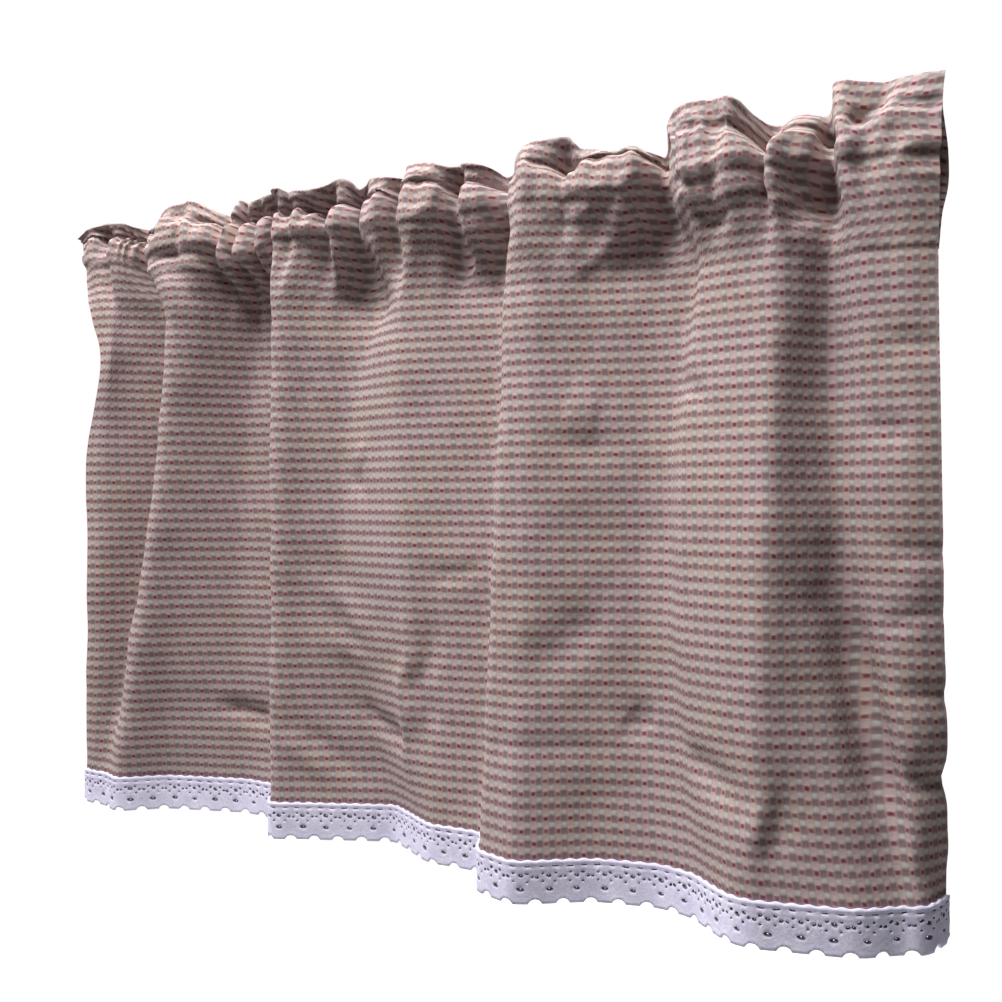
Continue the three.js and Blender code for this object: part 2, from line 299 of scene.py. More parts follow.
# Creases pressed into the front: name, places along and heights that it runs through, half width, depth
# (a crease that stands out has a negative depth)
creases = [
    ("pocket seam at the right end", [(236, -61), (262, -60), (310, -61)], 2, 0.9),
    ("hem stitch line", [(-290, -306), (0, -307), (300, -306)], 2.2, 0.4),
    ("hem pinch on the left", [(-172, -312), (-152, -316), (-126, -325)], 7, 5.4),
    ("hem pinch at the centre ridge", [(76, -307), (100, -305), (128, -308)], 4.5, 1.3),
    ("bias ridge", [(-74, -226), (-52, -246), (-28, -262)], 7, -2.6),
    ("bias trough", [(-52, -302), (-30, -312), (-4, -318)], 7, 4.4),
    ("bias second ridge", [(-70, -264), (-34, -277)], 6, -2),
    ("low bias ridge", [(-97, -320), (-60, -351)], 5, -2),
    ("low bias trough", [(-84, -316), (-46, -346)], 5, 2),
    ("soft ridge foot", [(-3, -246), (-6, -300), (-5, -350)], 6, -3),
    ("soft ridge foot hollow", [(11, -226), (9, -280), (11, -340)], 8, 3.4),
    ("short pinch", [(8, -217), (28, -220), (48, -218)], 3.5, 2.4),
    ("centre bump", [(100, -130), (122, -131)], 12, -2.6),
    ("centre bump foot", [(94, -144), (110, -148), (128, -146)], 6, 1.3),
    ("centre hollow", [(120, -232), (106, -254), (94, -272)], 11, 3),
    ("broad ridge dimple", [(164, -114), (174, -122), (184, -130)], 5, 2.6),
    ("valley dimple", [(136, -290), (150, -298)], 8, 3),
    ("broad ridge foot crease", [(171, -299), (188, -308), (206, -318)], 7, 3.4),
    ("broad ridge hem ridge", [(219, -311), (214, -345)], 5, -2.4),
    ("broad ridge hem hollow", [(229, -306), (225, -352)], 6, 2.6),
    ("slanting trough", [(241, -205), (251, -250), (266, -300), (280, -350)], 8.5, 8.5),
    ("right edge pucker", [(266, -103), (296, -107)], 4, 2.2),
    ("right edge second pucker", [(256, -143), (282, -147)], 5, 2.2),
    ("right edge third pucker", [(270, -199), (300, -204)], 5, 2.4),
    ("right edge fourth pucker", [(266, -233), (300, -230)], 4, 2),
    ("right edge fifth pucker", [(272, -265), (302, -269)], 5, 2.4),
    ("right edge sixth pucker", [(276, -303), (300, -309)], 8, 4),
    ("valley swag left", [(88, -8), (94, -28), (107, -52)], 5, -3),
    ("valley swag right", [(138, -10), (124, -36), (108, -54)], 5, -2.6),
    ("second valley dent", [(-70, -70), (-30, -74)], 30, 3.5),
    ("second valley bump", [(-52, -146), (-40, -152)], 9, -2.4),
    ("second valley pinch", [(-60, -164), (-40, -172)], 5, 2),
    ("fan pleat", [(-150, -9), (-144, -26), (-135, -50)], 4.5, 3.2),
    ("fan lower pleat", [(-163, -24), (-156, -36), (-147, -54)], 5, 3),
    ("fan ridge", [(-156, -14), (-150, -30), (-141, -54)], 4.5, -2.6),
    ("fan second ridge", [(-140, -8), (-136, -26), (-128, -48)], 4.5, -2.6),
    ("end tuck pleat", [(-228, -12), (-222, -30), (-208, -56)], 4, 3.4),
    ("broad ridge crescent", [(166, -14), (174, -24), (184, -20)], 3.5, 3),
    ("broad ridge second crescent", [(172, -30), (186, -40), (200, -34)], 5, 3.4),
    ("second valley recess", [(-80, -44), (-60, -50), (-40, -52), (-18, -46)], 20, 7),
    ("soft valley recess", [(14, -42), (30, -45), (52, -45)], 18, 6),
    ("centre valley recess", [(126, -36), (142, -43), (158, -45)], 17, 5),
    ("slanting recess", [(226, -28), (239, -42)], 16, 3.5),
    ("last ruffle pleat", [(266, 20), (260, 8), (250, -4)], 4, 3.4),
]

# Edges that sway: name, place along and height of the middle, half width, half height, shift along
sways = [
    ("left edge notch", -278, -76, 26, 58, 25),
    ("left edge swell", -284, -24, 22, 22, -4),
    ("left edge low notch", -268, -210, 22, 40, 2),
]


# A value along places: straight between listed points, with each bend spread out softly
def softLine(places, values, at, softness):
    steps = np.linspace(-2, 2, 17)
    weights = np.exp(-steps * steps / 2)
    weights /= weights.sum()
    low, high = places[0], places[-1]
    lowSlope = (values[1] - values[0]) / (places[1] - places[0])
    highSlope = (values[-1] - values[-2]) / (places[-1] - places[-2])
    total = 0
    for step, weight in zip(steps, weights):
        place = at + step * softness
        before, after = np.minimum(place - low, 0), np.maximum(place - high, 0)
        inside = np.interp(place, places, values)
        total = total + (inside + before * lowSlope + after * highSlope) * weight
    return total


# Fold lines at one height, on a parabola through hem, middle and seam
def foldPointsAt(up):
    rise = (up - hemUp) / cloth["panelDrop"]
    shares = ((2 * rise - 1) * (rise - 1), 4 * rise * (1 - rise), rise * (2 * rise - 1))
    points = [sum(share * np.array(place) for share, place in zip(shares, fold[1:])) for fold in folds]
    return np.array(points).T


# The hanging cloth's plan line at one height, at even steps of cloth from end to end
def hangingLine(up, columns):
    places, values = foldPointsAt(up)
    along = np.linspace(places[0], places[-1], cloth["foldSteps"])
    out = softLine(places, values, along, cloth["foldSoftness"])
    length = np.concatenate([[0], np.cumsum(np.hypot(np.diff(along), np.diff(out)))])
    at = np.linspace(0, length[-1], columns)
    return np.interp(at, length, along), np.interp(at, length, out)


# Points of a curve that runs smoothly through stacked rows, at each listed share of the way
def throughRows(rows, heights, at):
    rows = np.array(rows)
    slopes = np.gradient(rows, heights, axis=0)
    index = np.clip(np.searchsorted(heights, at, side="right") - 1, 0, len(heights) - 2)
    span = np.diff(heights)[index]
    share = (at - np.array(heights)[index]) / span
    share, span = share[:, None], span[:, None]
    startWeight = (1 + 2 * share) * (1 - share) ** 2
    endWeight = share ** 2 * (3 - 2 * share)
    startSlope = share * (1 - share) ** 2 * span
    endSlope = share ** 2 * (share - 1) * span
    return (rows[index] * startWeight + rows[index + 1] * endWeight
            + slopes[index] * startSlope + slopes[index + 1] * endSlope)


# Rows of a sheet that runs through stacked levels, each a cloth length with its lines along, out and up
def rowsThrough(levels, at):
    heights = [level[0] for level in levels]
    lines = [throughRows([level[axis] for level in levels], heights, at) for axis in (1, 2, 3)]
    return np.stack(lines, axis=1)


# A gather's change from the lower seam's line: full over each lobe and quick into each tuck
def gatherCurve(changes, along):
    places = np.array([gather[1] for gather in gathers], float)
    fine = np.linspace(places[0], places[-1], cloth["gatherSteps"])
    index = np.clip(np.searchsorted(places, fine, side="right") - 1, 0, len(places) - 2)
    share = (fine - places[index]) / np.diff(places)[index]
    start, end = np.array(changes, float)[index], np.array(changes, float)[index + 1]
    full = np.where(end > start, np.sin(share * np.pi / 2), 1 - np.cos(share * np.pi / 2))
    values = between(start, end, 0.5 * share + 0.5 * full)
    return softLine(fine, values, along, cloth["gatherSoftness"])


# Levels of the heading's front layer from the lower seam up: cloth length so far, then along, out and up
def frontLevels(along, seamOut):
    flat = np.ones_like(along)
    seamPlaces = np.array([gather[1] for gather in gathers], float)
    seamOuts = np.interp(seamPlaces, along, seamOut)

    def lineAt(column):
        places, outs = np.array([gather[column][:2] for gather in gathers], float).T
        return np.array([along + gatherCurve(places - seamPlaces, along),
                         seamOut + gatherCurve(outs - seamOuts, along)])

    rod, seam, crest = lineAt(3), lineAt(4), lineAt(5)
    under = gatherCurve([gather[2] for gather in gathers], along)
    seamRise = gatherCurve([gather[4][2] for gather in gathers], along)
    crestUp = gatherCurve([gather[5][2] for gather in gathers], along)
    fullness = softLine(along, rod[1], along, cloth["rollSoftness"])
    pleat = rod[1] - fullness

    below = 12  # the first level lies this far below the seam
    levels = [(-below, *hangingLine(seamUp - below, len(along)), flat * (seamUp - below)),
              (0, along, seamOut, flat * seamUp)]
    for name, length, up, share, pleatShare, tuckShare, room in pocketLevels:
        out = between(seamOut, fullness, share) + pleat * pleatShare - tuckShare * under
        levels.append((length, between(along, rod[0], share), np.maximum(out, room), flat * up))
    for name, length, up, riseShare, share, step, room in rollLevels:
        place, out = between(rod, seam, share)
        levels.append((length, place, np.maximum(out + step, room), up + riseShare * seamRise))
    pocket, ruffle = cloth["pocketDepth"], cloth["ruffle"]
    lowRuffleUp = between(levels[-1][3], crestUp, 0.34)
    levels.append((pocket + 0.35 * ruffle, *between(seam, crest, 0.26), lowRuffleUp))
    levels.append((pocket + ruffle, *crest, crestUp))
    return levels


def clothRows():
    columns = cloth["columns"]
    drop = np.linspace(0, cloth["panelDrop"], cloth["panelRows"])[:-1]
    panel = [np.array([*hangingLine(hemUp + height, columns), np.full(columns, hemUp + height)])
             for height in drop]
    levels = frontLevels(*hangingLine(seamUp, columns))
    at = np.linspace(0, levels[-1][0], cloth["headingRows"])
    front = np.concatenate([np.array(panel), rowsThrough(levels, at)])
    return front, np.concatenate([drop, cloth["panelDrop"] + at])


# Directions square to the cloth on its room side, for stacked rows of points
def facingOf(rows):
    alongA, outA, upA = (np.gradient(rows[:, axis], axis=1) for axis in range(3))
    alongB, outB, upB = (np.gradient(rows[:, axis], axis=0) for axis in range(3))
    facing = np.stack([upA * outB - outA * upB,
                       alongA * upB - upA * alongB,
                       outA * alongB - alongA * outB], axis=1)
    return facing / np.linalg.norm(facing, axis=1, keepdims=True)


def pushed(rows, distance):
    return rows + facingOf(rows) * np.broadcast_to(distance, rows[:, 0].shape)[:, None]


creasing = {
    "stray": 2.5,  # how far a crease strays from its line
    "endShare": 0.25,  # of its depth, left at its ends
    "fade": 0.35,  # share of its length over which it fades
}


# How far each front point is pressed back by the creases, which fade out at both ends
def creaseDepth(rows):
    along = rows[:, 0] + creasing["stray"] * unevenness(rows[:, 0], rows[:, 2], 17, 15, 31)
    up = rows[:, 2] + creasing["stray"] * unevenness(rows[:, 0], rows[:, 2], 16, 18, 32)
    depth = np.zeros_like(along)
    for name, line, halfWidth, press in creases:
        line = np.array(line, float)
        runs = np.diff(line, axis=0)
        lengths = np.hypot(runs[:, 0], runs[:, 1])
        nearest = np.full_like(along, 1e6)
        reached = np.zeros_like(along)
        for index, run in enumerate(runs):
            fromAlong, fromUp = along - line[index, 0], up - line[index, 1]
            share = np.clip((fromAlong * run[0] + fromUp * run[1]) / lengths[index] ** 2, 0, 1)
            away = np.hypot(fromAlong - share * run[0], fromUp - share * run[1])
            closer = away < nearest
            nearest = np.where(closer, away, nearest)
            reached = np.where(closer, lengths[:index].sum() + share * lengths[index], reached)
        share = reached / lengths.sum()
        fade = between(creasing["endShare"], 1, ease(np.minimum(share, 1 - share) / creasing["fade"]))
        depth += press * fade * np.exp(-(nearest / halfWidth) ** 2)
    return depth


def swayed(rows):
    moved = rows.copy()
    for name, along, up, halfWidth, halfHeight, shift in sways:
        near = np.exp(-((rows[:, 0] - along) / halfWidth) ** 2 - ((rows[:, 2] - up) / halfHeight) ** 2)
        moved[:, 0] += shift * near
    return moved


# Small gathers that run out from the sewn lines
puckers = {
    "upperHeight": 4.5,
    "upperReach": (13, 7),  # below and above the upper seam
    "crumpleHeight": 2.4,  # over the heading, where it starts and grows above the lower seam
    "crumpleFrom": 14,
    "crumpleGrow": 30,
    "stitchHeight": 0.35,  # beside the lower seam
    "stitchReach": 14,
    "hemShare": 0.6,  # of the lower seam's puckers, beside the hem's stitches
    "hemReach": 6,
}

# The cloth's slight unevenness: pitch across, pitch up, height, seed
clothWaves = [(70, 80, 1.4, 7), (30, 24, 0.8, 5), (14, 11, 0.3, 6)]


def seamPuckers(across, reach):
    fromLower = reach - cloth["panelDrop"]
    fromUpper = fromLower - cloth["pocketDepth"]
    tight = 0.6 + 0.4 * unevenness(across, 0 * reach, 60, 1, 21)
    wander = across + 3 * unevenness(across, reach, 40, 25, 8)
    sharp = 0.35 - np.abs(unevenness(wander, reach, 8, 60, 3))
    fine = unevenness(across, reach, 5, 50, 4)
    crumple = 0.4 - np.abs(unevenness(across, reach, 19, 15, 14))
    upperReach = np.where(fromUpper < 0, *puckers["upperReach"])
    atUpper = np.exp(-(np.abs(fromUpper) / upperReach) ** 1.5) * tight
    atHeading = ease((fromLower - puckers["crumpleFrom"]) / puckers["crumpleGrow"])
    atLower = np.exp(-np.abs(fromLower) / puckers["stitchReach"])
    atHem = np.exp(-np.abs(reach - cloth["hemTurn"]) / puckers["hemReach"])
    total = puckers["upperHeight"] * sharp * atUpper + puckers["crumpleHeight"] * crumple * atHeading
    total = total + puckers["stitchHeight"] * fine * (atLower + puckers["hemShare"] * atHem)
    for pitchAcross, pitchUp, height, seed in clothWaves:
        total = total + height * unevenness(across, reach, pitchAcross, pitchUp, seed)
    return total


# Slack cloth settles into small wrinkles: each yarn pushes its ends apart to its own length, while the
# cloth keeps near its folds and resists sharp bends
settling = {
    "below": 60,  # starts this far below the pocket's lower seam
    "rounds": 260,
    "push": 0.15,
    "bendHold": 0.014,  # how firmly the cloth keeps its bends
    "stay": 0.997,  # how much of each move is kept
    "seamSlack": (0.11, 0.015),  # extra length at the upper seam's gathers, across and up
    "seamReach": (20, 16),  # below and above that seam
    "headingSlack": (0.04, 0.025),  # over the heading, where it starts and grows below that seam
    "headingFrom": 75,
    "headingGrow": 40,
}


# How much longer the cloth is than the shape it hangs in, across and up
def slackAt(across, reach):
    fromUpper = reach - cloth["panelDrop"] - cloth["pocketDepth"]
    uneven = 0.75 + 0.5 * unevenness(across, reach, 55, 40, 41)
    seamReach = np.where(fromUpper < 0, *settling["seamReach"])
    atSeam = np.exp(-(np.abs(fromUpper) / seamReach) ** 2)
    inHeading = ease((fromUpper + settling["headingFrom"]) / settling["headingGrow"])
    slacks = zip(settling["seamSlack"], settling["headingSlack"])
    return [(seam * atSeam + heading * inHeading) * uneven for seam, heading in slacks]


def settled(rows, slackAcross, slackUp):
    home = np.moveaxis(rows, 1, 2)
    every, low, high = slice(None), slice(None, -1), slice(1, None)
    slackBias = (slackAcross + slackUp) / 2
    runs = [
        ((every, low), (every, high), slackAcross),
        ((low, every), (high, every), slackUp),
        ((low, low), (high, high), slackBias),
        ((low, high), (high, low), slackBias),
    ]
    yarns = []
    for first, second, slack in runs:
        apart = np.linalg.norm(home[second] - home[first], axis=2)
        yarns.append((first, second, apart * (1 + (slack[first] + slack[second]) / 2)))

    def bendOf(values):
        wide = np.pad(values, ((1, 1), (1, 1), (0, 0)), "edge")
        return wide[2:, 1:-1] + wide[:-2, 1:-1] + wide[1:-1, 2:] + wide[1:-1, :-2] - 4 * values

    moved = np.zeros_like(home)
    for turn in range(settling["rounds"]):
        spots = home + moved
        for first, second, length in yarns:
            run = spots[second] - spots[first]
            pull = run * (settling["push"] * (1 - length / np.linalg.norm(run, axis=2)))[:, :, None]
            moved[first] += pull
            moved[second] -= pull
        moved -= settling["bendHold"] * bendOf(bendOf(moved))
        moved *= settling["stay"]
        moved[0] = 0
    return np.moveaxis(home + moved, 2, 1)


def buildFront():
    front, reach = clothRows()
    across = np.linspace(0, cloth["flatWidth"], cloth["columns"])
    acrossRows, reachRows = np.meshgrid(across, reach)
    front = pushed(front, seamPuckers(acrossRows, reachRows) - creaseDepth(front))
    start = np.searchsorted(reach, cloth["panelDrop"] - settling["below"])
    front[start:] = settled(front[start:], *slackAt(acrossRows[start:], reachRows[start:]))
    return swayed(front), reach


# How the weave lies on the settled cloth
weaveLie = {
    "length": (4.243, 12),  # averages over columns: half width of the bell, count to each side
    "wide": (22, 60),
    "narrow": (3, 9),
    "tuckShare": 0.45,  # how much of a tuck's cloth shows
    "lobeOut": 10,  # from a tuck out to a lobe
    "grow": 25,  # cloth length above the lower seam over which the gathers draw the weave aside
}


# Cloth length at each point, which above the pocket's lower seam follows the settled shape
def lengthsOf(rows, reach, seam):
    steps = np.linalg.norm(np.diff(rows[seam:], axis=0), axis=1)
    soft = np.array([averaged(step, *weaveLie["length"]) for step in steps])
    lengths = np.repeat(reach[:, None], rows.shape[2], axis=1)
    lengths[seam + 1:] = lengths[seam] + np.cumsum(soft, axis=0)
    return lengths


# Place across the flat cloth at each point: even on the panel, while in the gathers the lobes show their
# own length of cloth and the tucks take up the rest
def placesAcross(rows, reach, seam):
    columns = rows.shape[2]
    even = cloth["flatWidth"] / (columns - 1)
    places = np.repeat(np.arange(columns)[None] * even, len(rows), axis=0)
    for index in range(seam + 1, len(rows)):
        steps = np.linalg.norm(np.gradient(rows[index], axis=1), axis=0)
        ahead = rows[index, 1] - averaged(rows[index, 1], *weaveLie["wide"])
        share = between(weaveLie["tuckShare"], 1, ease(0.5 + ahead / weaveLie["lobeOut"]))
        shown = averaged(steps * share, *weaveLie["narrow"])
        drift = np.cumsum(shown - averaged(shown, *weaveLie["wide"]))
        places[index] += drift * ease((reach[index] - reach[seam]) / weaveLie["grow"])
    return places


pocketRear = {
    "out": -10.5,  # behind the rod's axis
    "wave": 2,
    "waveLength": 95,
}


# Back of the rod pocket, from the upper seam down to the lower one, kept behind the pocket's front rows
def pocketBack(top, front):
    along, flat = front[0, 0], np.ones_like(front[0, 0])
    rodBack = pocketRear["out"] - pocketRear["wave"] * np.sin(2 * np.pi * along / pocketRear["waveLength"])
    lowOut = front[0, 1] - cloth["layerGap"]
    levels = [  # cloth length below the upper seam, then along, out and up
        (0, *top),
        (6, along, np.minimum(between(top[1], rodBack, 0.7), -7), flat * -4),
        (14, along, rodBack, flat * -12),
        (26, along, rodBack, flat * -24),
        (44, along, between(rodBack, lowOut, 0.66), flat * -43),
        (cloth["pocketDepth"], along, lowOut, flat * seamUp),
    ]
    at = np.linspace(0, cloth["pocketDepth"], cloth["backRows"])[1:]
    back = rowsThrough(levels, at)
    frontUp = front[:, 2].mean(axis=1)
    for row in back:
        beside = front[np.argmin(np.abs(frontUp - row[2].mean()))]
        clear = np.interp(row[0], np.maximum.accumulate(beside[0]), beside[1]) - cloth["layerGap"]
        row[1] = np.minimum(row[1], clear)
    return back, at


# The whole cut length as one run of rows: hem turned up behind, front, then ruffle and pocket turned over
def wholeLength(front, reach):
    behind = pushed(front, -cloth["layerGap"])
    seamRow = np.searchsorted(reach, cloth["panelDrop"])
    upperRow = np.searchsorted(reach, cloth["panelDrop"] + cloth["pocketDepth"])
    hemTop = np.searchsorted(reach, cloth["hemTurn"])
    below = np.array([[0], [0], [cloth["underLace"]]])
    foot, footBehind = front[0] - below, behind[0] - below
    back, backReach = pocketBack(behind[upperRow], front[seamRow:upperRow])
    hem = behind[hemTop::-1]
    rows = np.concatenate([hem, footBehind[None], foot[None], front, behind[:upperRow - 1:-1], back])
    hemReach = -reach[hemTop::-1] - 2 * cloth["underLace"]
    footReach = [-cloth["underLace"] - cloth["footTurn"], -cloth["underLace"]]
    turned = 2 * reach[-1] - reach[:upperRow - 1:-1] + cloth["crestTurn"]
    rowReach = np.concatenate([hemReach, footReach, reach, turned, turned[-1] + backReach])
    return rows, rowReach, len(hem) + 2 + seamRow


# Rows of the cut length as a thin sheet: outer side, inner side and the rims of its edges
def clothPiece(name, rows, facing, places, lengths, material):
    columns, count = cloth["columns"], len(rows)
    inner = rows - facing * cloth["thickness"]
    sides = np.concatenate([rows, inner])
    points = np.stack([sides[:, 0], -sides[:, 1], sides[:, 2]], axis=2).reshape(-1, 3) * metre
    corner = np.arange(count * columns).reshape(count, columns)
    quads = lambda *corners: np.stack([part.ravel() for part in corners], axis=1)
    outerFaces = quads(corner[:-1, :-1], corner[:-1, 1:], corner[1:, 1:], corner[1:, :-1])
    deeper = count * columns
    edges = (corner[:, 0], corner[:, -1][::-1], corner[0][::-1], corner[-1])
    rims = [quads(edge[:-1], edge[1:], edge[1:] + deeper, edge[:-1] + deeper) for edge in edges]
    faces = np.concatenate([outerFaces, outerFaces[:, ::-1] + deeper] + rims)
    piece = newPiece(name, points, faces.tolist(), [material])
    layer = piece.data.uv_layers.new(name="weave")
    corners = faces.ravel() % deeper
    uv = np.stack([places.ravel()[corners], lengths.ravel()[corners]], axis=1) / cloth["cell"]
    layer.data.foreach_set("uv", uv.ravel())
    outward = np.stack([facing[:, 0], -facing[:, 1], facing[:, 2]], axis=2).reshape(-1, 3)
    piece.data.normals_split_custom_set_from_vertices(np.concatenate([outward, -outward]).tolist())
    return piece


# Checked cotton, woven with coloured yarns: soft matte rows of small dark red dots between grey and beige
# bars. A band grows from none to full between two values of a wave that repeats once in a cell of the weave
checkedCotton = {
    "beige": "#b6a39b",
    "pink": "#b8a3a2",
    "mid": "#a3978f",  # where grey yarns cross pale ones
    "pale": "#bab4ae",
    "grey": "#826c70",
    "red": "#742e38",
    "bands": {
        "warmColumn": ("X", -0.8, 0.6),
        "greyColumn": ("X", 0.9, -0.7),
        "greyRow": ("Y", -0.9, 0.7),
        "dotColumn": ("X", -0.2, 1),
        "dotRow": ("Y", 0.05, 1),
        "spotColumn": ("X", 0.1, -0.95),
        "spotRow": ("Y", 0.2, -0.95),
    },
    "stray": 0.16,  # how far a yarn strays from straight, in cells
    "dotStrength": (0.75, 1),
    "yarnsInCell": 7,  # drawn 0.9 mm apart, coarser than the real ones, so that they show
    "yarnTone": (0.92, 1.08),  # of thin and thick yarns
    "yarnHeight": 0.2,
    "surface": {"Roughness": 0.95, "Specular IOR Level": 0.1, "Sheen Weight": 0.05, "Sheen Roughness": 0.5},
}


def checkedCottonMaterial():
    look = checkedCotton
    material, shader = newMaterial("checked cotton, yarn-dyed and woven")
    tree = material.node_tree
    cells = addNode(tree, "UVMap", uv_map="weave")
    noise = {"Vector": cells, "Scale": 1.7, "Detail": 2}
    wander = addNode(tree, "TexNoise", noise, "Color", noise_dimensions="2D")
    centred = addNode(tree, "VectorMath", {0: wander, 1: (0.5, 0.5, 0.5)}, operation="SUBTRACT")
    small = addNode(tree, "VectorMath", {0: centred, "Scale": look["stray"]}, operation="SCALE")
    moved = addNode(tree, "VectorMath", {0: cells, 1: small}, operation="ADD")
    waves = {}
    for axis in ("X", "Y"):
        place = addNode(tree, "SeparateXYZ", {0: moved}, axis)
        turn = addNode(tree, "Math", {0: place, 1: 2 * math.pi}, operation="MULTIPLY")
        waves[axis] = addNode(tree, "Math", {0: turn}, operation="SINE")
    bands = {}
    for name, (axis, none, full) in look["bands"].items():
        ends = {"Value": waves[axis], "From Min": none, "From Max": full}
        bands[name] = addNode(tree, "MapRange", ends, interpolation_type="SMOOTHSTEP")
    for name in ("grey", "dot", "spot"):  # where its columns cross its rows
        pair = {0: bands[name + "Column"], 1: bands[name + "Row"]}
        bands[name] = addNode(tree, "Math", pair, operation="MULTIPLY")

    # Some dots are stronger than others, and the beige turns pinker in places
    cell = addNode(tree, "VectorMath", {0: cells}, operation="FLOOR")
    chance = addNode(tree, "TexWhiteNoise", {"Vector": cell}, noise_dimensions="2D")
    weakest, strongest = look["dotStrength"]
    strength = addNode(tree, "MapRange", {"Value": chance, "To Min": weakest, "To Max": strongest})
    dot = addNode(tree, "Math", {0: bands["dot"], 1: strength}, operation="MULTIPLY")
    noise = {"Vector": cells, "Scale": 0.16, "Detail": 3}
    drift = addNode(tree, "TexNoise", noise, noise_dimensions="2D")
    ends = {"Value": drift, "From Min": 0.4, "From Max": 0.6}
    pinker = addNode(tree, "MapRange", ends, interpolation_type="SMOOTHSTEP")
    ends = {"Factor": pinker, 6: linearColor(look["beige"]), 7: linearColor(look["pink"])}
    warm = addNode(tree, "Mix", ends, 2, data_type="RGBA")
    color = linearColor(look["mid"])
    for share, over in ((bands["warmColumn"], warm), (bands["spot"], linearColor(look["pale"])),
                        (bands["grey"], linearColor(look["grey"])), (dot, linearColor(look["red"]))):
        color = addNode(tree, "Mix", {"Factor": share, 6: color, 7: over}, 2, data_type="RGBA")

    # Slubs: some yarns are thicker and paler than their neighbours
    slubs = []
    for stretch in ((0.5, look["yarnsInCell"], 1), (look["yarnsInCell"], 0.5, 1)):
        stretched = addNode(tree, "VectorMath", {0: cells, 1: stretch}, operation="MULTIPLY")
        slubs.append(addNode(tree, "TexNoise", {"Vector": stretched, "Scale": 1, "Detail": 2}))
    slub = addNode(tree, "Math", {0: slubs[0], 1: slubs[1]}, operation="ADD")
    thin, thick = look["yarnTone"]
    ends = {"Value": slub, "From Min": 0.6, "From Max": 1.4, "To Min": thin, "To Max": thick}
    tone = addNode(tree, "MapRange", ends)
    toned = addNode(tree, "VectorMath", {0: color, "Scale": tone}, operation="SCALE")
    tree.links.new(toned, shader.inputs["Base Color"])
    for socket, value in look["surface"].items():
        shader.inputs[socket].default_value = value
    crossing = addNode(tree, "Math", {0: waves["X"], 1: waves["Y"]}, operation="MULTIPLY")
    raised = addNode(tree, "Math", {0: crossing, 1: slub}, operation="ADD")
    relief = {"Height": raised, "Strength": 0.4, "Distance": look["yarnHeight"] * metre}
    tree.links.new(addNode(tree, "Bump", relief), shader.inputs["Normal"])
    return material


clothFront, frontReach = buildFront()
clothRun, runReach, seamAt = wholeLength(clothFront, frontReach)
clothFacing = facingOf(clothRun)
clothLengths = lengthsOf(clothRun, runReach, seamAt)
clothPlaces = placesAcross(clothRun, runReach, seamAt)
clothMaterial = checkedCottonMaterial()
# The panel ends and the heading starts at the pocket's lower seam
panelPiece = clothPiece("curtain-panel", clothRun[:seamAt + 1], clothFacing[:seamAt + 1],
                        clothPlaces[:seamAt + 1], clothLengths[:seamAt + 1], clothMaterial)
headingPiece = clothPiece("curtain-heading", clothRun[seamAt:], clothFacing[seamAt:],
                          clothPlaces[seamAt:], clothLengths[seamAt:], clothMaterial)
for piece, node in ((panelPiece, "panel"), (headingPiece, "heading")):
    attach(piece, "root")
    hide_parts(node)
    print("cloth hung:", node, len(piece.data.polygons), "faces")


# Lace edging: a strip of openwork sewn over the cloth's lower edge

lace = {
    "depth": 22.3,
    "repeats": 46,
    "thickness": 1.2,
    "clothGap": 0.3,
    "step": 1.15,  # between the mesh's inner points
    "edgeGap": 0.6,  # how far they stay from the outline
    "gapEdge": 0.3,  # and from the gaps
    "edgeSteps": 16,  # mesh steps along each side of a repeat
    "rimSteps": 12,  # and around a gap
    "gapSizes": (0.75, 1.15),  # from repeat to repeat, as shares
    "gapShift": (0.3, 0.25),
    "gapTilt": 10,
    "backShare": 0.18,  # how wide a gap still is behind, where the threads close on it
    "topWave": 0.35,
    "notchHalfWidth": 3.2,
    "notchRise": 2.4,
    "fanThreads": 9,  # in each repeat
    "fanDown": 12.5,
    "fanReach": 3,
    "fanHeight": 0.18,
}

# Cords that stand out along the lace: name, depth below the top edge, or above the foot, height, half width
topCords = [("top cord", 0.9, 0.55, 0.7), ("second cord", 4.6, 0.3, 0.6)]
footCord = ("foot cord", 0.8, 0.35, 0.7)

# Gaps of one repeat: name, place across it as a share, depth below the top edge, half width, half height,
# slant in degrees
laceGaps = [
    ("top slit left", 0.25, 2.9, 1.7, 0.4, 0),
    ("top slit right", 0.75, 2.9, 1.7, 0.4, 0),
    ("low step left", 0.08, 8.5, 1, 0.7, 25),
    ("high step left", 0.28, 6.4, 1, 0.7, -25),
    ("diamond", 0.5, 7.8, 1.45, 1, 20),
    ("high step right", 0.72, 6.4, 1, 0.7, 25),
    ("low step right", 0.92, 8.5, 1, 0.7, -25),
    ("oval", 0.5, 14.8, 2, 1.05, 8),
    ("fine left", 0.27, 10.8, 0.65, 0.5, 0),
    ("fine right", 0.73, 10.8, 0.65, 0.5, 0),
]


def laceFootAt(across, width):
    away = np.minimum(across, width - across)
    arch = np.sqrt(np.clip(1 - (away / lace["notchHalfWidth"]) ** 2, 0, 1))
    return lace["depth"] - lace["notchRise"] * arch


